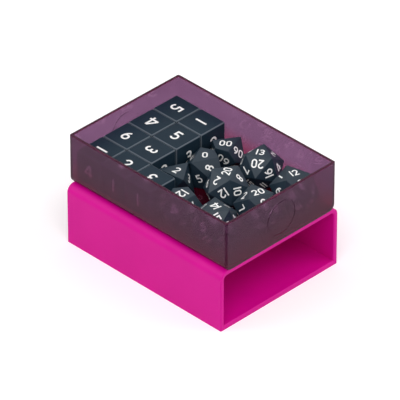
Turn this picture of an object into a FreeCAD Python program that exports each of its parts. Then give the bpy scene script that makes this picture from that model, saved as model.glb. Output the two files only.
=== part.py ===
import FreeCAD, Part
import Sketcher
import itertools
import math
import os

from FreeCAD import Placement, Rotation, Vector

# Dice storage chest, in millimetres.  A flat sleeve, open at both ends, lies on the
# table and a tray stands centred on top of it.  The tray is the drawer that pushes into
# the sleeve.  It holds nine cube dice, packed in rows at its -X end, and nine loose
# many-sided dice in the bay beside them.
# Frame: X along the tray, Y across it, Z up; the origin is the middle of the sleeve's
# underside.

CUBE_ROWS = 4
CUBE_COLUMNS = 2
GOLDEN = (1 + math.sqrt(5)) / 2

# ---------------------------------------------------------------- shapes of the dice

def all_signs(x, y, z):
    """The point and its mirror images in the three coordinate planes, without repeats."""
    flips = itertools.product((1, -1), repeat=3)
    return sorted({(x * a, y * b, z * c) for a, b, c in flips})


def cycled(points):
    """Each point with its coordinates in the orders xyz, zxy and yzx, without repeats."""
    return sorted({order for x, y, z in points for order in ((x, y, z), (z, x, y), (y, z, x))})


def vectors(points):
    return [Vector(*point) for point in points]


CUBE_CORNERS = vectors(all_signs(1.0, 1.0, 1.0))
OCTAHEDRON = vectors(cycled(all_signs(0.0, 0.0, 1.0)))
ICOSAHEDRON = vectors(cycled(all_signs(0.0, 1.0, GOLDEN)))
DODECAHEDRON = CUBE_CORNERS + vectors(cycled(all_signs(0.0, GOLDEN, 1 / GOLDEN)))


def ten_sided():
    """Corners and facings of a die of ten kites: two points, and a zigzag girdle whose
    height makes the kites flat."""
    turn = math.radians(36)
    zigzag = math.tan(turn / 2) ** 2
    corners = [Vector(0, 0, 1), Vector(0, 0, -1)]
    facings = []
    for step in range(10):
        rise = 1 if step % 2 == 0 else -1
        outward = Vector(math.cos(turn * step), math.sin(turn * step), 0)
        corners.append(outward + Vector(0, 0, rise * zigzag))
        facings.append(outward * (1 + zigzag) - Vector(0, 0, rise))
    return corners, facings


# A regular solid's facings point to the corners of its dual.
KINDS = {
    "d20": (ICOSAHEDRON, DODECAHEDRON),
    "d12": (DODECAHEDRON, ICOSAHEDRON),
    "d10": ten_sided(),
    "d8": (OCTAHEDRON, CUBE_CORNERS),
}


def corners_on(corners, facing):
    """The corners furthest along `facing`, which are those of the face there."""
    reach = max(corner.dot(facing) for corner in corners)
    return [corner for corner in corners if corner.dot(facing) > reach - 1e-6]


def laid_down(kind):
    """Corners and facings of a die that measures one from face to face, lying on a face
    around the Z axis, with the first corner of its upper face towards +X."""
    corners, facings = KINDS[kind]
    down = facings[0]
    depth = 2 * max(corner.dot(down) for corner in corners) / down.Length
    lay = Rotation(down, Vector(0, 0, -1))
    pointer = lay.multVec(corners_on(corners, -down)[0])
    turn = Rotation(Vector(0, 0, 1), -math.degrees(math.atan2(pointer.y, pointer.x)))
    lay = turn.multiply(lay)
    corners = [lay.multVec(corner) * (1 / depth) for corner in corners]
    facings = [lay.multVec(facing).normalize() for facing in facings]
    return corners, facings


def widest(kind):
    """The greatest width of a die that lies on a face, seen from above, corner to corner,
    as a share of its size from face to face."""
    corners, _ = laid_down(kind)
    pairs = itertools.combinations(corners, 2)
    return max(math.hypot(first.x - second.x, first.y - second.y) for first, second in pairs)


def narrowest(kind):
    """The width of a die that lies on a face, along its heading, as the same share."""
    corners, _ = laid_down(kind)
    return max(corner.x for corner in corners) - min(corner.x for corner in corners)


# ---------------------------------------------------------------- sizes

DRIVING_SIZES = (
    ("cube_size", "16.0", "edge of a cube die"),
    ("cube_gap", "0.15", "gap between packed cube dice"),
    ("cube_edge", "1.0", "rounding of a cube die's edges"),
    ("d20_size", "18.6", "twenty-sided die, face to face"),
    ("d12_size", "15.6", "twelve-sided die, face to face"),
    ("d10_size", "13.6", "ten-sided die, face to face"),
    ("d8_size", "12.0", "eight-sided die, face to face"),
    ("loose_edge", "0.35", "rounding of the loose dice's edges"),
    ("row_nest", "0.55", "how far the corners of loose dice reach into the next row"),
    ("side_room", "1.8", "cube dice to the tray's long walls"),
    ("end_room", "0.6", "cube dice to the tray's -X end wall"),
    ("tray_wall", "1.5", "wall of the tray"),
    ("tray_floor", "1.8", "floor of the tray"),
    ("tray_height", "26.7", "height of the tray outside"),
    ("tray_side_round", "3.6", "rounding along the tray's two long bottom edges"),
    ("tray_end_round", "1.1", "rounding around the tray's two end faces"),
    ("tray_inner_round", "0.6", "rounding in the tray's inner end corners"),
    ("tray_rim_round", "0.3", "rounding of the tray's rim"),
    ("ring_size", "18.0", "outer diameter of the ring engraved in each end of the tray"),
    ("ring_line", "0.5", "width of the engraved line"),
    ("ring_depth", "0.25", "depth of the engraved line"),
    ("tray_overhang", "0.7", "how far the pushed-in tray stands out at each mouth"),
    ("slide_gap", "0.3", "tray to sleeve, all round"),
    ("sleeve_wall", "2.3", "wall of the sleeve"),
    ("sleeve_round", "4.0", "rounding along the sleeve's two long top edges"),
    ("mouth_break", "0.35", "bevel outside each mouth, along its sides and its top"),
    ("mouth_lead", "0.5", "bevel inside each mouth that leads the tray in"),
)

WORKED_OUT_SIZES = (
    ("cube_pitch", "=cube_size + cube_gap", "step from one cube die to the next"),
    ("cube_block", f"={CUBE_ROWS} * cube_pitch - cube_gap", "width of the cube rows"),
    ("d20_span", f"=d20_size * {widest('d20')}", "twenty-sided die, corner to corner"),
    ("d12_span", f"=d12_size * {widest('d12')}", "twelve-sided die, corner to corner"),
    ("d8_span", f"=d8_size * {widest('d8')}", "eight-sided die, corner to corner"),
    ("d10_span", f"=d10_size * {widest('d10')}", "ten-sided die, the long way"),
    ("d10_width", f"=d10_size * {narrowest('d10')}", "ten-sided die, the short way"),
    ("back_row", "=d20_span - row_nest", "row of loose dice at +Y"),
    ("middle_row", "0.0", "row of loose dice along the tray's middle"),
    ("front_row", "=-back_row", "row of loose dice at -Y"),
    ("row_of_d8", "=cube_size - cube_block / 2 + d8_span / 2", "beside the last cube die"),
    ("row_of_low_d10", "=row_of_d8 + d8_span / 2 + d10_width / 2", "next along +Y"),
    ("row_of_high_d10", "=row_of_low_d10 + d10_width", "next along +Y"),
    ("inner_width",
     "=2 * max(cube_block / 2 + side_room; back_row + d20_span / 2;"
     " row_of_high_d10 + d10_width / 2 + side_room)",
     "room for the widest of the cube rows and the loose rows"),
    ("bay_length", "=d10_span + 2 * d20_span", "length of the loose dice's bay"),
    ("inner_length", f"=end_room + {CUBE_COLUMNS} * cube_pitch + bay_length", "tray inside"),
    ("tray_length", "=inner_length + 2 * tray_wall", "tray outside"),
    ("tray_width", "=inner_width + 2 * tray_wall", "tray outside"),
    ("cubes_start", "=end_room - inner_length / 2", "-X side of the first cube column"),
    ("bay_start", f"=cubes_start + {CUBE_COLUMNS} * cube_pitch", "-X side of the bay"),
    ("near_column", "=bay_start + d10_span / 2", "ten-sided and eight-sided dice"),
    ("middle_column", "=bay_start + d10_span + d20_span / 2", "twenty-sided dice"),
    ("far_column", "=middle_column + d20_span", "twenty-sided dice"),
    ("column_of_d12", "=bay_start + cube_pitch + d12_span / 2", "beside the last cube die"),
    ("column_of_last_d20", "=column_of_d12 + d12_span / 2 + d20_span / 2", "beside the d12"),
    ("mouth_width", "=tray_width + 2 * slide_gap", "sleeve inside"),
    ("mouth_height", "=tray_height + 2 * slide_gap", "sleeve inside"),
    ("sleeve_width", "=mouth_width + 2 * sleeve_wall", "sleeve outside"),
    ("sleeve_height", "=mouth_height + 2 * sleeve_wall", "sleeve outside"),
    ("sleeve_length", "=tray_length - 2 * tray_overhang", "sleeve outside"),
    ("dice_level", "=sleeve_height + tray_floor", "top of the tray's floor"),
)

# Column and row, counted from the -X, +Y corner of the tray.
CUBE_SPOTS = (
    (0, 0), (0, 1), (0, 2), (0, 3),
    (1, 0), (1, 1), (1, 2), (1, 3),
    (2, 3),
)

# Each loose die: its node, its kind, the cells that give its column and row, how far it
# lies from there along X and Y, and the heading of the first corner of its upper face, in
# degrees.
LOOSE_DICE = (
    ("ten_sided_die_1", "d10", "near_column", "row_of_high_d10", "0.1", "0.1", 83),
    ("ten_sided_die_2", "d10", "near_column", "row_of_low_d10", "-0.2", "-1.15", -90),
    ("eight_sided_die", "d8", "near_column", "row_of_d8", "-2.25", "0.15", 96),
    ("twenty_sided_die_1", "d20", "middle_column", "back_row", "-0.1", "0.75", 2),
    ("twenty_sided_die_2", "d20", "middle_column", "middle_row", "-0.2", "1.2", -33),
    ("twenty_sided_die_3", "d20", "far_column", "middle_row", "-1.6", "-0.4", 40),
    ("twenty_sided_die_4", "d20", "far_column", "back_row", "-0.5", "-0.3", 163),
    ("twenty_sided_die_5", "d20", "column_of_last_d20", "front_row", "0.3", "0.45", -103),
    ("twelve_sided_die", "d12", "column_of_d12", "front_row", "0.6", "-0.15", 36),
)

doc = FreeCAD.newDocument("dice_chest")
sheet = doc.addObject("Spreadsheet::Sheet", "Sizes")


def fill_sheet():
    """Write every size into the sheet, one row each: name, value, meaning."""
    rows = list(DRIVING_SIZES + WORKED_OUT_SIZES)
    for label, _, _, _, along, across, _ in LOOSE_DICE:
        rows.append((f"{label}_along", along, "from its column, along X"))
        rows.append((f"{label}_across", across, "from its row, along Y"))
    for row, (alias, content, meaning) in enumerate(rows, 1):
        sheet.set(f"A{row}", alias)
        sheet.set(f"B{row}", content)
        sheet.setAlias(f"B{row}", alias)
        sheet.set(f"C{row}", meaning)
    doc.recompute()


def size(alias):
    """The value of a size in the sheet."""
    return float(sheet.get(alias))


# ---------------------------------------------------------------- sketches and features

def add_body(label):
    body = doc.addObject("PartDesign::Body", label)
    body.Label = label
    return body


def add_sketch(body, name, plane_role, offsets):
    """A sketch on one of the body's origin planes, moved along its own axes by formulas."""
    sketch = body.newObject("Sketcher::SketchObject", name)
    plane = next(part for part in body.Origin.OriginFeatures if part.Role == plane_role)
    sketch.AttachmentSupport = [(plane, "")]
    sketch.MapMode = "FlatFace"
    for axis, offset in offsets.items():
        sketch.setExpression(f".AttachmentOffset.Base.{axis}", offset)
    return sketch


def add_rectangle(body, name, plane_role, across, up, offsets):
    """A rectangle centred on its sketch's axes, its two sides given by formulas."""
    sketch = add_sketch(body, name, plane_role, offsets)
    corners = [Vector(*signs, 0) for signs in ((-1, -1), (1, -1), (1, 1), (-1, 1))]
    for side in range(4):
        line = Part.LineSegment(corners[side], corners[(side + 1) % 4])
        sketch.addGeometry(line, False)
    for side in range(4):
        sketch.addConstraint(Sketcher.Constraint("Coincident", side, 2, (side + 1) % 4, 1))
    for level_side, upright_side in ((0, 1), (2, 3)):
        sketch.addConstraint(Sketcher.Constraint("Horizontal", level_side))
        sketch.addConstraint(Sketcher.Constraint("Vertical", upright_side))
    sketch.addConstraint(Sketcher.Constraint("Symmetric", 0, 1, 1, 2, -1, 1))
    width = corners[1].x - corners[0].x
    height = corners[2].y - corners[1].y
    across_row = sketch.addConstraint(Sketcher.Constraint("DistanceX", 0, 1, 0, 2, width))
    up_row = sketch.addConstraint(Sketcher.Constraint("DistanceY", 1, 1, 1, 2, height))
    sketch.setExpression(f"Constraints[{across_row}]", across)
    sketch.setExpression(f"Constraints[{up_row}]", up)
    return sketch


def add_circles(body, name, plane_role, diameters, offsets):
    """Circles around their sketch's origin, with diameters given by formulas."""
    sketch = add_sketch(body, name, plane_role, offsets)
    for number, diameter in enumerate(diameters):
        rough_radius = 1.0 + number
        circle = Part.Circle(Vector(), Vector(0, 0, 1), rough_radius)
        sketch.addGeometry(circle, False)
        sketch.addConstraint(Sketcher.Constraint("Coincident", number, 3, -1, 1))
        row = sketch.addConstraint(Sketcher.Constraint("Diameter", number, 2 * rough_radius))
        sketch.setExpression(f"Constraints[{row}]", diameter)
    return sketch


def dress_edges(body, kind, name, picked, amount):
    """Round or bevel the body's edges that `picked` accepts, by a formula's amount."""
    doc.recompute()
    base = body.Tip
    feature = body.newObject(f"PartDesign::{kind}", name)
    names = [
        f"Edge{number}" for number, edge in enumerate(base.Shape.Edges, 1) if picked(edge)
    ]
    feature.Base = (base, names)
    feature.setExpression("Radius" if kind == "Fillet" else "Size", amount)
    doc.recompute()
    return feature


def flat_at(edge, axis, level):
    """True where the whole edge lies in the plane across `axis` at `level`."""
    box = edge.BoundBox
    low = getattr(box, f"{axis}Min")
    high = getattr(box, f"{axis}Max")
    return abs(low - level) < 1e-4 and abs(high - level) < 1e-4


def around_end(edge, end):
    """True for an edge in either of the two planes X = end and X = -end."""
    return flat_at(edge, "X", end) or flat_at(edge, "X", -end)


# ---------------------------------------------------------------- sleeve

def make_sleeve():
    """The case: a tube open at both ends, its two long top edges rounded."""
    body = add_body("sleeve")
    middle = "Sizes.sleeve_height / 2"
    block = body.newObject("PartDesign::Pad", "SleeveBlock")
    block.Profile = add_rectangle(
        body, "SleeveSection", "YZ_Plane", "Sizes.sleeve_width", "Sizes.sleeve_height",
        {"y": middle})
    block.SideType = "Symmetric"
    block.setExpression("Length", "Sizes.sleeve_length")
    end = size("sleeve_length") / 2
    top = size("sleeve_height")
    dress_edges(
        body, "Fillet", "SleeveTopRounds",
        lambda edge: flat_at(edge, "Z", top) and edge.BoundBox.XLength > end,
        "Sizes.sleeve_round")

    mouth = body.newObject("PartDesign::Pocket", "Mouth")
    mouth.Profile = add_rectangle(
        body, "MouthSection", "YZ_Plane", "Sizes.mouth_width", "Sizes.mouth_height",
        {"y": middle})
    mouth.SideType = "Symmetric"
    mouth.Type = "Length"
    mouth.setExpression("Length", "Sizes.sleeve_length + 2 * Sizes.sleeve_wall")
    ceiling = top - size("sleeve_wall")
    dress_edges(
        body, "Fillet", "MouthRounds",
        lambda edge: flat_at(edge, "Z", ceiling) and edge.BoundBox.XLength > end,
        "Sizes.sleeve_round - Sizes.sleeve_wall")

    # The underside keeps its sharp edges, so that the whole of it rests on the table.
    dress_edges(
        body, "Chamfer", "MouthBreaks",
        lambda edge: around_end(edge, end)
        and not inside_of_mouth(edge) and not flat_at(edge, "Z", 0),
        "Sizes.mouth_break")
    dress_edges(
        body, "Chamfer", "MouthLeads",
        lambda edge: around_end(edge, end) and inside_of_mouth(edge), "Sizes.mouth_lead")
    return body


def inside_of_mouth(edge):
    """True for an edge that bounds the sleeve's opening rather than its outside."""
    half_width = size("mouth_width") / 2 + size("sleeve_wall") / 2
    low = size("sleeve_wall") / 2
    high = size("sleeve_height") - low
    box = edge.BoundBox
    return -half_width < box.YMin and box.YMax < half_width and low < box.ZMin and box.ZMax < high


# ---------------------------------------------------------------- tray

def make_tray():
    """The open tray: rounded along its long bottom edges, hollowed from above."""
    body = add_body("tray")
    end = size("tray_length") / 2
    top = size("tray_height")
    block = body.newObject("PartDesign::Pad", "TrayBlock")
    block.Profile = add_rectangle(
        body, "TrayPlan", "XY_Plane", "Sizes.tray_length", "Sizes.tray_width", {})
    block.setExpression("Length", "Sizes.tray_height")
    dress_edges(
        body, "Fillet", "TraySideRounds",
        lambda edge: flat_at(edge, "Z", 0) and edge.BoundBox.XLength > end,
        "Sizes.tray_side_round")
    dress_edges(
        body, "Fillet", "TrayEndRounds",
        lambda edge: around_end(edge, end) and not flat_at(edge, "Z", top),
        "Sizes.tray_end_round")

    hollow = body.newObject("PartDesign::Pocket", "Hollow")
    hollow.Profile = add_rectangle(
        body, "HollowPlan", "XY_Plane", "Sizes.inner_length", "Sizes.inner_width",
        {"z": "Sizes.tray_height"})
    hollow.Type = "Length"
    hollow.setExpression("Length", "Sizes.tray_height - Sizes.tray_floor")
    inner_end = size("inner_length") / 2
    floor = size("tray_floor")
    dress_edges(
        body, "Fillet", "HollowSideRounds",
        lambda edge: flat_at(edge, "Z", floor) and edge.BoundBox.XLength > end,
        "Sizes.tray_side_round - Sizes.tray_wall")
    dress_edges(
        body, "Fillet", "HollowEndRounds",
        lambda edge: around_end(edge, inner_end) and not flat_at(edge, "Z", top),
        "Sizes.tray_inner_round")
    dress_edges(
        body, "Fillet", "RimRounds",
        lambda edge: flat_at(edge, "Z", top), "Sizes.tray_rim_round")
    for name, side in (("PlusEnd", ""), ("MinusEnd", "-")):
        engrave_ring(body, name, side)
    body.setExpression(".Placement.Base.z", "Sizes.sleeve_height")
    return body


def engrave_ring(body, name, side):
    """A ring cut a little way into the tray's end at +X, or with a minus at -X."""
    ring = body.newObject("PartDesign::Pocket", f"{name}Ring")
    ring.Profile = add_circles(
        body, f"{name}Circles", "YZ_Plane",
        ("Sizes.ring_size - 2 * Sizes.ring_line", "Sizes.ring_size"),
        {"y": "Sizes.tray_height / 2", "z": f"{side}Sizes.tray_length / 2"})
    ring.Type = "Length"
    ring.setExpression("Length", "Sizes.ring_depth")
    ring.Reversed = side == "-"


# ---------------------------------------------------------------- cube dice

def make_cube_die(number, column, row):
    """One cube die, standing on the tray's floor in its column and row."""
    label = f"cube_die_{number}"
    body = add_body(label)
    cube = body.newObject("PartDesign::AdditiveBox", f"CubeBlock{number}")
    for side in ("Length", "Width", "Height"):
        cube.setExpression(side, "Sizes.cube_size")
    dress_edges(body, "Fillet", f"CubeRounds{number}", lambda edge: True, "Sizes.cube_edge")
    body.setExpression(
        ".Placement.Base.x", f"Sizes.cubes_start + {column} * Sizes.cube_pitch")
    body.setExpression(
        ".Placement.Base.y",
        f"Sizes.cube_block / 2 - Sizes.cube_size - {row} * Sizes.cube_pitch")
    body.setExpression(".Placement.Base.z", "Sizes.dice_level")
    return body


# ---------------------------------------------------------------- loose dice

def flat_face(corners, facing):
    """The flat face through the corners furthest along `facing`."""
    ring = corners_on(corners, facing)
    middle = sum(ring, Vector()) / len(ring)
    first = (ring[0] - middle).normalize()
    second = facing.cross(first).normalize()
    angle = lambda corner: math.atan2((corner - middle).dot(second), (corner - middle).dot(first))
    ring = sorted(ring, key=angle)
    return Part.Face(Part.makePolygon(ring + ring[:1]))


def die_shape(kind, face_to_face, rounding):
    """A die resting on one face at Z = 0, centred on the Z axis, with the first corner
    of its upper face towards +X."""
    corners, facings = laid_down(kind)
    lift = Vector(0, 0, face_to_face / 2)
    corners = [corner * face_to_face + lift for corner in corners]
    solid = Part.Solid(Part.Shell([flat_face(corners, facing) for facing in facings]))
    return solid.makeFillet(rounding, solid.Edges)


def make_loose_die(label, kind, column, row, heading):
    """One many-sided die, lying on a face on the tray's floor."""
    feature = doc.addObject("Part::Feature", label)
    feature.Label = label
    feature.Shape = die_shape(kind, size(f"{kind}_size"), size("loose_edge"))
    feature.Placement = Placement(Vector(), Rotation(Vector(0, 0, 1), heading))
    feature.setExpression(".Placement.Base.x", f"Sizes.{column} + Sizes.{label}_along")
    feature.setExpression(".Placement.Base.y", f"Sizes.{row} + Sizes.{label}_across")
    feature.setExpression(".Placement.Base.z", "Sizes.dice_level")
    return feature


# ---------------------------------------------------------------- build, check and write

def check(parts):
    """Stop if anything in the document failed, or a part isn't one sound solid."""
    doc.recompute()
    for item in doc.Objects:
        if "Invalid" in item.State or "Error" in item.State:
            raise RuntimeError(f"{item.Label} failed to build")
    for part in parts:
        shape = part.Shape
        if shape.isNull() or not shape.isValid() or len(shape.Solids) != 1:
            raise RuntimeError(f"{part.Label} isn't one valid solid")
        if shape.Volume <= 0:
            raise RuntimeError(f"{part.Label} is inside out")


def write(parts):
    os.makedirs("parts", exist_ok=True)
    for part in parts:
        part.Shape.exportStep(f"parts/{part.Label}.step")
        box = part.Shape.optimalBoundingBox(False)
        print(f"{part.Label}: {part.Shape.Volume:.1f} mm3, X {box.XMin:.2f} {box.XMax:.2f}, "
              f"Y {box.YMin:.2f} {box.YMax:.2f}, Z {box.ZMin:.2f} {box.ZMax:.2f}")


fill_sheet()
parts = [make_sleeve(), make_tray()]
for number, (column, row) in enumerate(CUBE_SPOTS, 1):
    parts.append(make_cube_die(number, column, row))
for label, kind, column, row, _, _, heading in LOOSE_DICE:
    parts.append(make_loose_die(label, kind, column, row, heading))
check(parts)
write(parts)
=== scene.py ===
import math

import bmesh
import bpy
from mathutils import Matrix, Vector


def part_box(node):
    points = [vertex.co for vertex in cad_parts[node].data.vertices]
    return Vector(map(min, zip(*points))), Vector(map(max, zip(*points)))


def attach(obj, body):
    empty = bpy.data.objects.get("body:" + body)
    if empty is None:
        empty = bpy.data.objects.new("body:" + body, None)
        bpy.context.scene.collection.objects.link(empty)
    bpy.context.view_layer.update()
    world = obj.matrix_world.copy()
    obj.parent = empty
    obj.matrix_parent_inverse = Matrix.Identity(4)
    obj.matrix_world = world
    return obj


# Dice storage chest: a magenta sleeve lying on the table, and its smoky tray, full of dark
# dice, standing on top.  Lengths are in metres, +Z is up, +X runs along the tray.

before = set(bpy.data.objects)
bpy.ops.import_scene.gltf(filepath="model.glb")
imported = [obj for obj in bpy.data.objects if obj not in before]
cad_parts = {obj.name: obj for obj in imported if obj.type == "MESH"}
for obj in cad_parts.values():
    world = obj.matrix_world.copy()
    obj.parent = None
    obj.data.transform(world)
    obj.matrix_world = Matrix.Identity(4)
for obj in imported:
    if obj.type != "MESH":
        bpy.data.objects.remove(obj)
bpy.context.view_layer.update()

MM = 0.001
UP = Vector((0, 0, 1))
TRAY_WALL = 1.5 * MM
NEAR_FACE = 0.1 * MM      # how far past the tray's inner faces still counts as inside

tray_low, tray_high = (Vector(corner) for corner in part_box("tray"))
inner_half_length = tray_high.x - TRAY_WALL + NEAR_FACE
inner_half_width = tray_high.y - TRAY_WALL + NEAR_FACE


# ---------------------------------------------------------------- colours and nodes

NOISE_LOW, NOISE_HIGH = 0.35, 0.65    # nearly all of a noise lies between these


def linear(hex_colour):
    """An sRGB hex colour as linear red, green, blue and alpha."""
    channels = [int(hex_colour[place:place + 2], 16) / 255 for place in (1, 3, 5)]
    straight = [
        value / 12.92 if value <= 0.04045 else ((value + 0.055) / 1.055) ** 2.4
        for value in channels
    ]
    return (*straight, 1.0)


def add_node(tree, kind, inputs=None, **settings):
    """Add a node of that kind, with its settings.  Each input, by name or by number, gets a
    value, an output to link it from, or a node, whose first output in use links to it."""
    node = tree.nodes.new(kind)
    for name, value in settings.items():
        setattr(node, name, value)
    for key, value in (inputs or {}).items():
        if isinstance(value, bpy.types.Node):
            value = next(output for output in value.outputs if output.enabled)
        if isinstance(value, bpy.types.NodeSocket):
            tree.links.new(value, node.inputs[key])
        else:
            node.inputs[key].default_value = value
    return node


def new_material(name):
    """A material with an empty node tree."""
    material = bpy.data.materials.new(name)
    material.use_nodes = True
    material.node_tree.nodes.clear()
    return material, material.node_tree


def sizes_of(tree, vector):
    """The X, Y and Z of a vector, each without its sign."""
    unsigned = add_node(tree, "ShaderNodeVectorMath", {0: vector}, operation="ABSOLUTE")
    return add_node(tree, "ShaderNodeSeparateXYZ", {0: unsigned}).outputs


def seen_as_backdrop(tree):
    """One for the rays that show the backdrop: straight from the camera, mirrored, or through
    the tray.  Nought for those that only carry its light."""
    path = add_node(tree, "ShaderNodeLightPath").outputs
    mirrored = add_node(
        tree, "ShaderNodeMath", {0: path["Is Camera Ray"], 1: path["Is Glossy Ray"]},
        operation="MAXIMUM")
    return add_node(
        tree, "ShaderNodeMath", {0: mirrored, 1: path["Is Transmission Ray"]},
        operation="MAXIMUM")


# ---------------------------------------------------------------- materials

def moulded_plastic(name, pale, deep, roughness, gloss, grain, painted_edge_highlight=None):
    """Injection-moulded opaque plastic from a spark-eroded mould.  The eye gets an even colour
    with the faintest clouds where the melt flowed, and a soft sheen broken by a fine grain of
    bumps `grain` mm apart.  Real grain is several times finer: it is drawn as coarse as it
    needs to show.  The last argument, if given, is the colour of a painted highlight on the
    edges between level and upright faces, where their bevels would catch the light."""
    material, tree = new_material(name)
    coordinates = add_node(tree, "ShaderNodeTexCoord").outputs
    eroded = add_node(tree, "ShaderNodeTexNoise", {
        "Vector": coordinates["Object"], "Scale": 1 / (grain * MM), "Detail": 3.0,
        "Roughness": 0.6})
    flow = add_node(tree, "ShaderNodeTexNoise", {
        "Vector": coordinates["Object"], "Scale": 1 / (22.0 * MM), "Detail": 2.0,
        "Roughness": 0.6})
    clouds = add_node(tree, "ShaderNodeMapRange", {
        "Value": flow, "From Min": NOISE_LOW, "From Max": NOISE_HIGH})
    colour = add_node(
        tree, "ShaderNodeMix", {0: clouds, 6: linear(deep), 7: linear(pale)}, data_type="RGBA")
    if painted_edge_highlight:
        # Squareness is one on a face across X, Y or Z, and less on the edges between them.
        facing = sizes_of(tree, coordinates["Normal"])
        squareness = add_node(
            tree, "ShaderNodeMath", {0: facing["Y"], 1: facing["Z"]}, operation="MAXIMUM")
        squareness = add_node(
            tree, "ShaderNodeMath", {0: facing["X"], 1: squareness}, operation="MAXIMUM")
        edge = add_node(tree, "ShaderNodeMapRange", {
            "Value": squareness, "From Min": 0.85, "From Max": 0.96, "To Min": 1.0,
            "To Max": 0.0})
        # The edges take the paler colour: a painted highlight where the bevels would catch the
        # light.
        colour = add_node(
            tree, "ShaderNodeMix", {0: edge, 6: colour, 7: linear(painted_edge_highlight)}, data_type="RGBA")
    sheen = add_node(tree, "ShaderNodeMapRange", {
        "Value": eroded, "From Min": NOISE_LOW, "From Max": NOISE_HIGH,
        "To Min": roughness - 0.04, "To Max": roughness + 0.04})
    bump = add_node(tree, "ShaderNodeBump", {
        "Height": eroded, "Strength": 1.0, "Distance": 0.004 * MM})
    surface = add_node(tree, "ShaderNodeBsdfPrincipled", {
        "Base Color": colour, "Roughness": sheen, "IOR": 1.53, "Specular IOR Level": gloss,
        "Normal": bump})
    add_node(tree, "ShaderNodeOutputMaterial", {"Surface": surface})
    return material


def frosted_polystyrene():
    """Moulded see-through polystyrene, tinted smoky purple: polished inside, so that it mirrors
    the dice, and frosted outside, so that they show through it softly.  Painted over its tint
    are a dark red along the rim, for light taking the long way down through the wall, a
    magenta towards the foot, for the sleeve's light coming up through it, and a painted shadow,
    nearly black, in the edge of the floor where it stands on the sleeve.  The frost is drawn
    coarser and smoother than it would be, so that it shows and the numerals behind it can be
    made out."""
    material, tree = new_material("frosted_smoky_polystyrene")
    place = add_node(tree, "ShaderNodeTexCoord").outputs["Object"]
    frost = add_node(tree, "ShaderNodeTexNoise", {
        "Vector": place, "Scale": 1 / (0.5 * MM), "Detail": 3.0, "Roughness": 0.6})
    flow = add_node(tree, "ShaderNodeTexNoise", {
        "Vector": place, "Scale": 1 / (30.0 * MM), "Detail": 2.0, "Roughness": 0.6})
    clouds = add_node(tree, "ShaderNodeMapRange", {
        "Value": flow, "From Min": NOISE_LOW, "From Max": NOISE_HIGH})

    # Which part of the tray it is: each runs from nought, elsewhere, to one, there.
    apart = sizes_of(tree, place)
    between_ends = add_node(
        tree, "ShaderNodeMath", {0: apart["X"], 1: inner_half_length}, operation="LESS_THAN")
    between_sides = add_node(
        tree, "ShaderNodeMath", {0: apart["Y"], 1: inner_half_width}, operation="LESS_THAN")
    inside = add_node(
        tree, "ShaderNodeMath", {0: between_ends, 1: between_sides}, operation="MULTIPLY")
    outside = add_node(tree, "ShaderNodeMath", {0: 1.0, 1: inside}, operation="SUBTRACT")
    rim = add_node(tree, "ShaderNodeMapRange", {
        "Value": apart["Z"], "From Min": tray_high.z - 0.3 * MM,
        "From Max": tray_high.z - 0.15 * MM})
    foot = add_node(tree, "ShaderNodeMapRange", {
        "Value": apart["Z"], "From Min": tray_high.z - 25 * MM,
        "From Max": tray_high.z - 12 * MM, "To Min": 1.0, "To Max": 0.0})
    floor_level = add_node(tree, "ShaderNodeMapRange", {
        "Value": apart["Z"], "From Min": tray_low.z + 1.2 * MM,
        "From Max": tray_low.z + 2.2 * MM, "To Min": 1.0, "To Max": 0.0})
    painted_shadow_band = add_node(
        tree, "ShaderNodeMath", {0: outside, 1: floor_level}, operation="MULTIPLY")

    tint = add_node(
        tree, "ShaderNodeMix", {0: clouds, 6: linear("#815D7E"), 7: linear("#896486")},
        data_type="RGBA")
    # Painted over the tint: the sleeve's magenta light coming up through the foot, the tray's
    # shadow along the edge of its floor, and the dark red of light going the long way down through
    # the rim.
    for part, colour in ((foot, "#8E3450"), (painted_shadow_band, "#3B2829"), (rim, "#A82850")):
        tint = add_node(
            tree, "ShaderNodeMix", {0: part, 6: tint, 7: linear(colour)}, data_type="RGBA")

    # Polish takes most of the frost's roughness and bumps off the inside.
    frosted = add_node(tree, "ShaderNodeMapRange", {
        "Value": frost, "From Min": NOISE_LOW, "From Max": NOISE_HIGH, "To Min": 0.24,
        "To Max": 0.265})
    smoothed = add_node(tree, "ShaderNodeMapRange", {
        "Value": inside, "To Min": 1.0, "To Max": 0.4})
    roughness = add_node(
        tree, "ShaderNodeMath", {0: frosted, 1: smoothed}, operation="MULTIPLY")
    bumpiness = add_node(tree, "ShaderNodeMapRange", {
        "Value": inside, "To Min": 1.0, "To Max": 0.1})
    bump = add_node(tree, "ShaderNodeBump", {
        "Height": frost, "Strength": bumpiness, "Distance": 0.001 * MM})

    surface = add_node(tree, "ShaderNodeBsdfPrincipled", {
        "Base Color": tint, "Roughness": roughness, "IOR": 1.47,
        "Specular Tint": linear("#E05CB4"), "Transmission Weight": 0.98, "Normal": bump})
    depth = add_node(tree, "ShaderNodeVolumeAbsorption", {
        "Color": linear("#BC59A0"), "Density": 150.0})

    # What looks for the lamps passes straight through, so that they light the dice inside.
    lit_through = add_node(tree, "ShaderNodeMixShader", {
        0: add_node(tree, "ShaderNodeLightPath").outputs["Is Shadow Ray"], 1: surface,
        2: add_node(tree, "ShaderNodeBsdfTransparent")})
    add_node(tree, "ShaderNodeOutputMaterial", {"Surface": lit_through, "Volume": depth})
    return material


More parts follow.
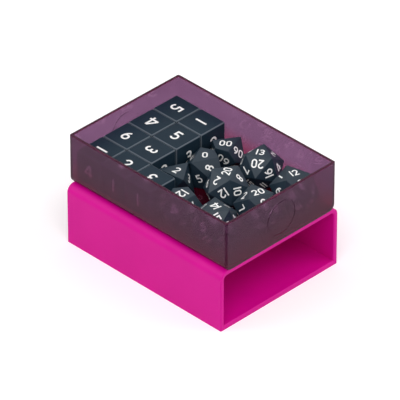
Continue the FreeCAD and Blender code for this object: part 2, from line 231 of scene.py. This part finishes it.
def white_enamel():
    """White enamel wiped into the dice's numerals: matt, and slightly uneven."""
    material, tree = new_material("white_enamel_fill")
    wiped = add_node(tree, "ShaderNodeTexNoise", {
        "Vector": add_node(tree, "ShaderNodeTexCoord").outputs["Object"],
        "Scale": 1 / (0.8 * MM), "Detail": 2.0, "Roughness": 0.6})
    thickness = add_node(tree, "ShaderNodeMapRange", {
        "Value": wiped, "From Min": NOISE_LOW, "From Max": NOISE_HIGH})
    colour = add_node(
        tree, "ShaderNodeMix", {0: thickness, 6: linear("#F1F1EE"), 7: linear("#FBFBFA")},
        data_type="RGBA")
    roughness = add_node(tree, "ShaderNodeMapRange", {
        "Value": wiped, "From Min": NOISE_LOW, "From Max": NOISE_HIGH, "To Min": 0.4,
        "To Max": 0.55})
    bump = add_node(tree, "ShaderNodeBump", {
        "Height": wiped, "Strength": 0.5, "Distance": 0.01 * MM})
    surface = add_node(tree, "ShaderNodeBsdfPrincipled", {
        "Base Color": colour, "Roughness": roughness, "IOR": 1.5, "Normal": bump})
    add_node(tree, "ShaderNodeOutputMaterial", {"Surface": surface})
    return material


PAPER_GLOW = 0.26    # lifts lit paper to white


def matt_paper():
    """White paper sweep under the chest.  Seen directly, mirrored or through the tray it glows
    a little, so that it shows white, and the chest's shadow stays on it.  Its fibres are drawn
    as coarse as they need to show."""
    material, tree = new_material("matt_white_paper")
    fibres = add_node(tree, "ShaderNodeTexNoise", {
        "Vector": add_node(tree, "ShaderNodeTexCoord").outputs["Object"],
        "Scale": 1 / (3.0 * MM), "Detail": 4.0, "Roughness": 0.6})
    bump = add_node(tree, "ShaderNodeBump", {
        "Height": fibres, "Strength": 0.2, "Distance": 0.02 * MM})
    paper = add_node(tree, "ShaderNodeBsdfDiffuse", {
        "Color": linear("#F4F2F3"), "Normal": bump})
    glow = add_node(
        tree, "ShaderNodeMath", {0: seen_as_backdrop(tree), 1: PAPER_GLOW}, operation="MULTIPLY")
    both = add_node(tree, "ShaderNodeAddShader", {
        0: paper, 1: add_node(tree, "ShaderNodeEmission", {"Strength": glow})})
    add_node(tree, "ShaderNodeOutputMaterial", {"Surface": both})
    return material


# ---------------------------------------------------------------- drawing numerals

# All for a numeral one unit high.
STROKE = 0.155            # width of the pen
EDGE = 0.5 - STROKE / 2   # centre line of the top and bottom strokes
BOWL = 0.2275             # radius of a zero's round ends
SPACING = 0.13            # between two digits
STEP = 0.001              # from one stroke's height to the next
ARC_STEP = 15             # degrees between the points of a round stroke


def stroke_line(shape, start, end):
    """Draw a straight stroke of the pen."""
    start, end = Vector((*start, 0)), Vector((*end, 0))
    along = end - start
    across = along.normalized().cross(UP) * STROKE / 2
    nib = shape.edges.new([shape.verts.new(start + across), shape.verts.new(start - across)])
    drawn = bmesh.ops.extrude_edge_only(shape, edges=[nib])["geom"]
    moved = [part for part in drawn if isinstance(part, bmesh.types.BMVert)]
    bmesh.ops.translate(shape, verts=moved, vec=along)


def stroke_arc(shape, middle, radius, start, sweep):
    """Draw a round stroke of the pen, from an angle through a sweep, in degrees."""
    middle = Vector((*middle, 0))
    outward = Vector((math.cos(math.radians(start)), math.sin(math.radians(start)), 0))
    near = shape.verts.new(middle + outward * (radius - STROKE / 2))
    far = shape.verts.new(middle + outward * (radius + STROKE / 2))
    nib = shape.edges.new([near, far])
    bmesh.ops.spin(
        shape, geom=[near, far, nib], cent=middle, axis=UP, angle=math.radians(sweep),
        steps=max(4, round(abs(sweep) / ARC_STEP)), use_merge=abs(sweep) == 360,
        use_duplicate=False)


# Each digit's strokes: two points are a straight stroke; a middle, a radius, a start and a
# sweep are a round one.
DIGITS = {
    "0": [((0, 0.19), BOWL, 0, 180), ((-BOWL, 0.19), (-BOWL, -0.19)),
          ((0, -0.19), BOWL, 180, 180), ((BOWL, -0.19), (BOWL, 0.19))],
    "1": [((0, -0.5), (0, 0.5))],
    "2": [((0, 0.18), 0.2375, 168, -208), ((0.182, 0.03), (-0.19, -EDGE)),
          ((-0.27, -EDGE), (0.29, -EDGE))],
    "3": [((0, 0.213), 0.205, 155, -245), ((0, -0.195), 0.2225, 90, -245),
          ((-0.09, 0.018), (0.02, 0.018))],
    "4": [((0.1, 0.49), (-0.33, -0.17)), ((-0.4, -0.22), (0.38, -0.22)),
          ((0.15, 0.5), (0.15, -0.5))],
    "5": [((-0.2, EDGE), (0.25, EDGE)), ((-0.19, 0.5), (-0.2, 0.0)),
          ((-0.01, -0.165), 0.2525, 136, -286)],
    "6": [((0, -0.175), 0.243, 0, 360), ((0.37, -0.175), 0.613, 180, -66)],
    "7": [((-0.29, EDGE), (0.29, EDGE)), ((0.23, EDGE), (-0.12, -0.5))],
    "8": [((0, 0.213), 0.2, 0, 360), ((0, -0.19), BOWL, 0, 360)],
}
WIDE = 2 * BOWL + STROKE  # every digit is as wide as a zero, but for a one


def numeral_shape(text):
    """A numeral one unit high, drawn flat about the origin.  A nine is a six turned round.
    Each stroke lies a hair above the one before, so that crossing strokes don't share a
    plane."""
    shape = bmesh.new()
    widths = [STROKE if digit == "1" else WIDE for digit in text]
    pen = -(sum(widths) + SPACING * (len(text) - 1)) / 2
    for digit, width in zip(text, widths):
        before = set(shape.verts)
        for step, part in enumerate(DIGITS["6" if digit == "9" else digit]):
            older = set(shape.verts)
            if len(part) == 2:
                stroke_line(shape, *part)
            else:
                stroke_arc(shape, *part)
            stroke = [vert for vert in shape.verts if vert not in older]
            bmesh.ops.translate(shape, verts=stroke, vec=UP * STEP * step)
        drawn = [vert for vert in shape.verts if vert not in before]
        if digit == "9":
            bmesh.ops.rotate(
                shape, verts=drawn, cent=(0, 0, 0), matrix=Matrix.Rotation(math.pi, 3, "Z"))
        bmesh.ops.translate(shape, verts=drawn, vec=(pen + width / 2, 0, 0))
        pen += width + SPACING
    return shape


SUNK, PROUD = 0.05 * MM, 0.02 * MM    # how far an inlay goes under its face and above it


def set_in(target, text, height, middle, facing, upright):
    """Lay a numeral on a flat face as a thin inlay."""
    flat = numeral_shape(text)
    right = upright.cross(facing)
    turn = Matrix((right, upright, facing)).transposed().to_4x4()
    place = Matrix.Translation(middle - facing * SUNK) @ turn @ Matrix.Scale(height, 4)
    bmesh.ops.transform(flat, matrix=place, verts=flat.verts)
    lid = bmesh.ops.extrude_face_region(flat, geom=flat.faces[:])["geom"]
    lifted = [part for part in lid if isinstance(part, bmesh.types.BMVert)]
    bmesh.ops.translate(flat, verts=lifted, vec=facing * (SUNK + PROUD))
    bmesh.ops.recalc_face_normals(flat, faces=flat.faces)
    drawn = bpy.data.meshes.new("numeral")
    flat.to_mesh(drawn)
    flat.free()
    target.from_mesh(drawn)
    bpy.data.meshes.remove(drawn)


# ---------------------------------------------------------------- faces of the dice

SAME_FACING = 0.9995    # least cosine between two triangles of one flat face
AT_CORNER = 0.9         # share of a face's reach at which a point counts as its corner
STRAIGHT_OUT = 0.99     # cosine to the facing past which a direction can't be a numeral's up


def flat_faces(node, count):
    """The die's flat faces: each one's facing, middle and points."""
    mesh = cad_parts[node].data
    found = []
    for polygon in mesh.polygons:
        face = next((f for f in found if f["facing"].dot(polygon.normal) > SAME_FACING), None)
        if face is None:
            face = {"facing": polygon.normal.copy(), "area": 0.0, "middle": Vector(), "points": []}
            found.append(face)
        face["area"] += polygon.area
        face["middle"] += polygon.center * polygon.area
        face["points"].extend(mesh.vertices[index].co for index in polygon.vertices)
    found.sort(key=lambda face: -face["area"])
    for face in found[:count]:
        face["middle"] = face["middle"] / face["area"]
    return found[:count]


def direction(heading, tilt):
    """The unit vector at a heading around +Z from +X, tilted up from level, in degrees."""
    heading, tilt = math.radians(heading), math.radians(tilt)
    return Vector((
        math.cos(heading) * math.cos(tilt), math.sin(heading) * math.cos(tilt),
        math.sin(tilt)))


def level_part(vector, facing):
    """What is left of a vector within the plane across `facing`, one unit long."""
    return (vector - facing * vector.dot(facing)).normalized()


def towards_corner(face, wanted):
    """The direction from the face's middle to its corner nearest to the wanted one."""
    reach = max((point - face["middle"]).length for point in face["points"])
    corners = [
        point - face["middle"] for point in face["points"]
        if (point - face["middle"]).length > AT_CORNER * reach
    ]
    best = max(corners, key=lambda corner: corner.normalized().dot(wanted))
    return level_part(best, face["facing"])


# ---------------------------------------------------------------- view

VIEW_HEADING = -45.0      # from the middle of the chest to the camera
VIEW_TILT = 35.0
VIEW_WIDTH = 185.7 * MM   # of what the camera takes in, at the chest
LENS = 500.0              # millimetres, as Blender counts lenses
SENSOR = 36.0
AIM_UP = 24.2 * MM        # of the picture's middle above the sleeve's underside
AIM_LEFT = 0.9 * MM

to_camera = direction(VIEW_HEADING, VIEW_TILT)
view_right = UP.cross(to_camera).normalized()
view_up = to_camera.cross(view_right)


def add_camera():
    """The camera, a long way off behind a long lens."""
    camera = bpy.data.cameras.new("camera")
    camera.lens = LENS
    camera.sensor_width = SENSOR
    camera.clip_end = 20.0
    holder = bpy.data.objects.new("camera", camera)
    bpy.context.scene.collection.objects.link(holder)
    aim = view_up * AIM_UP - view_right * AIM_LEFT
    distance = VIEW_WIDTH * LENS / SENSOR
    turn = Matrix((view_right, view_up, to_camera)).transposed().to_4x4()
    holder.matrix_world = Matrix.Translation(aim + to_camera * distance) @ turn
    bpy.context.scene.camera = holder


add_camera()


# ---------------------------------------------------------------- which numeral goes where

# Nine cube dice: the numeral on top, the heading of its upper edge, and the numeral on the
# side at -Y.
CUBES = {
    "cube_die_1": ("5", 0, "1"), "cube_die_2": ("4", -90, "6"), "cube_die_3": ("6", 90, "2"),
    "cube_die_4": ("1", 0, "4"), "cube_die_5": ("1", 0, "4"), "cube_die_6": ("5", 90, "1"),
    "cube_die_7": ("3", 0, "1"), "cube_die_8": ("2", 90, "1"), "cube_die_9": ("3", -90, "1"),
}

# The loose dice: the numerals that can be seen from the front corner.  Each has its face's
# heading and tilt, and how far it is turned clockwise there from upright, in degrees.
LOOSE = {
    "ten_sided_die_1": (10, [("00", 0, 90, 0), ("90", -33, 38, 40)]),
    "ten_sided_die_2": (10, [("0", 0, 90, 60), ("8", -26, 38, 40), ("5", -64, 0, -30)]),
    "eight_sided_die": (8, [("2", 0, 90, 55), ("8", -30, 19, 180)]),
    "twelve_sided_die": (12, [("12", 0, 90, 123), ("11", 0, 27, 160)]),
    "twenty_sided_die_1": (20, [
        ("13", 0, 90, 31), ("20", -58, 48, 178), ("16", -20, 19, -112), ("7", -96, 19, 130)]),
    "twenty_sided_die_2": (20, [
        ("20", 0, 90, -85), ("2", -93, 48, -146), ("8", 27, 48, 140), ("12", -55, 19, 148),
        ("10", -11, 19, 40)]),
    "twenty_sided_die_3": (20, [("20", 0, 90, -12), ("3", -20, 48, 170), ("8", 100, 48, 116)]),
    "twenty_sided_die_4": (20, [("12", 0, 90, -18), ("3", -17, 48, 165), ("10", 103, 48, 148)]),
    "twenty_sided_die_5": (20, [
        ("14", 0, 90, -120), ("15", -43, 48, 50), ("1", 77, 48, 120)]),
}

# Height of the numerals on each kind of die, by how many faces it has.
NUMERAL_HEIGHT = {6: 6.7 * MM, 8: 4.6 * MM, 10: 4.3 * MM, 12: 5.0 * MM, 20: 4.3 * MM}


def opposite(text, sides):
    """The numeral on the far side of a die: two such numerals add up to a fixed sum."""
    if sides == 10:
        return f"{90 - int(text):02d}" if len(text) == 2 else str(9 - int(text))
    return str(sides + 1 - int(text))


def numerals_of(sides, tens):
    """All the numerals of a die.  A ten-sided one counts from nought, or in tens."""
    if sides == 10:
        return [f"{ten}0" if tens else str(ten) for ten in range(10)]
    return [str(number) for number in range(1, sides + 1)]


def assign(faces, shown, sides):
    """Give every face its numeral: first those that show, each with its opposite, then the
    others in pairs.  Returns (face, numeral, wanted upright direction)."""
    placed = []
    free = list(faces)
    left = set(numerals_of(sides, tens=any(len(text) == 2 for text, *_ in shown)))

    def give(face, text, wanted):
        placed.append((face, text, wanted))
        free.remove(face)
        left.discard(text)

    for text, facing, wanted in shown:
        face = max(free, key=lambda f: f["facing"].dot(facing))
        give(face, text, wanted)
        if opposite(text, sides) in left:
            far = min(free, key=lambda f: f["facing"].dot(face["facing"]))
            give(far, opposite(text, sides), UP)
    for text in sorted(left, key=int):
        if text in left and free:
            face = max(free, key=lambda f: (round(f["facing"].z, 3), round(f["facing"].x, 3)))
            far = min(free, key=lambda f: f["facing"].dot(face["facing"]))
            give(face, text, UP)
            if far is not face:
                give(far, opposite(text, sides), UP)
    return placed


def add_numerals(node, sides, shown, enamel):
    """All the numerals of one die, as one thin inlay that moves with it."""
    faces = flat_faces(node, sides)
    inlay = bmesh.new()
    for face, text, wanted in assign(faces, shown, sides):
        facing = face["facing"]
        if abs(wanted.dot(facing)) > STRAIGHT_OUT:
            wanted = Vector((0, 1, 0))
        upright = level_part(wanted, facing)
        if sides != 6:
            upright = towards_corner(face, upright)
        set_in(inlay, text, NUMERAL_HEIGHT[sides], face["middle"], facing, upright)
    mesh = bpy.data.meshes.new(f"{node}_numerals")
    inlay.to_mesh(mesh)
    inlay.free()
    mesh.materials.append(enamel)
    piece = bpy.data.objects.new(f"{node}_numerals", mesh)
    bpy.context.scene.collection.objects.link(piece)
    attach(piece, f"{node}_body")


# ---------------------------------------------------------------- dressing the chest

def dress(node, material):
    """Give a node of the frame its material."""
    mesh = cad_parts[node].data
    mesh.materials.clear()
    mesh.materials.append(material)


SLATE = {"pale": "#1D2E3A", "deep": "#1A2A36", "roughness": 0.4, "grain": 0.5}

magenta_abs = moulded_plastic(
    "moulded_magenta_abs", pale="#D3058F", deep="#CF028C", roughness=0.42, gloss=0.12, grain=0.6)
slate_resin = moulded_plastic("moulded_slate_dice_resin", gloss=0.28, **SLATE)
# The cube dice: slate resin with a painted highlight on its edges.
painted_edge_resin = moulded_plastic(
    "slate_dice_resin_painted_edges", gloss=0.1, painted_edge_highlight="#5A636C", **SLATE)
smoky_styrene = frosted_polystyrene()
enamel = white_enamel()

dress("sleeve", magenta_abs)
dress("tray", smoky_styrene)
for node, (top, heading, side) in CUBES.items():
    dress(node, painted_edge_resin)
    shown = [(top, UP, direction(heading, 0)), (side, direction(-90, 0), UP)]
    add_numerals(node, 6, shown, enamel)
for node, (sides, seen) in LOOSE.items():
    dress(node, slate_resin)
    shown = []
    for text, heading, tilt, roll in seen:
        roll = math.radians(roll)
        wanted = view_up * math.cos(roll) + view_right * math.sin(roll)
        shown.append((text, direction(heading, tilt), wanted))
    add_numerals(node, sides, shown, enamel)


# ---------------------------------------------------------------- floor and light

FLOOR_REACH = 4.0              # from its middle to its edges
SOFTBOX_WIDTH = 1.2
SOFTBOX_DISTANCE = 1.6
SOFTBOX_AIM = UP * 30 * MM     # about the middle of the chest


def add_floor():
    """The paper sweep."""
    shape = bmesh.new()
    bmesh.ops.create_grid(shape, x_segments=1, y_segments=1, size=FLOOR_REACH)
    mesh = bpy.data.meshes.new("floor")
    shape.to_mesh(mesh)
    shape.free()
    mesh.materials.append(matt_paper())
    floor = bpy.data.objects.new("floor", mesh)
    bpy.context.scene.collection.objects.link(floor)


def add_softbox(name, heading, tilt, power):
    """A square lamp that faces the middle of the chest."""
    lamp = bpy.data.lights.new(name, "AREA")
    lamp.shape = "SQUARE"
    lamp.size = SOFTBOX_WIDTH
    lamp.energy = power
    back = direction(heading, tilt)
    side = UP.cross(back).normalized()
    turn = Matrix((side, back.cross(side), back)).transposed().to_4x4()
    holder = bpy.data.objects.new(name, lamp)
    bpy.context.scene.collection.objects.link(holder)
    holder.matrix_world = Matrix.Translation(SOFTBOX_AIM + back * SOFTBOX_DISTANCE) @ turn


def set_world(strength):
    """Even light from all around, from a backdrop that shows white."""
    world = bpy.data.worlds.new("studio")
    world.use_nodes = True
    tree = world.node_tree
    tree.nodes.clear()
    brightness = add_node(tree, "ShaderNodeMapRange", {
        "Value": seen_as_backdrop(tree), "To Min": strength, "To Max": 1.0})
    sky = add_node(tree, "ShaderNodeBackground", {
        "Color": linear("#FFFFFF"), "Strength": brightness})
    add_node(tree, "ShaderNodeOutputWorld", {"Surface": sky})
    bpy.context.scene.world = world


add_floor()
set_world(strength=0.45)
add_softbox("front_softbox", VIEW_HEADING, tilt=50, power=11.0)
add_softbox("left_softbox", VIEW_HEADING - 90, tilt=36, power=8.0)
add_softbox("right_softbox", VIEW_HEADING + 90, tilt=36, power=8.0)

bpy.context.scene.view_settings.view_transform = "Standard"
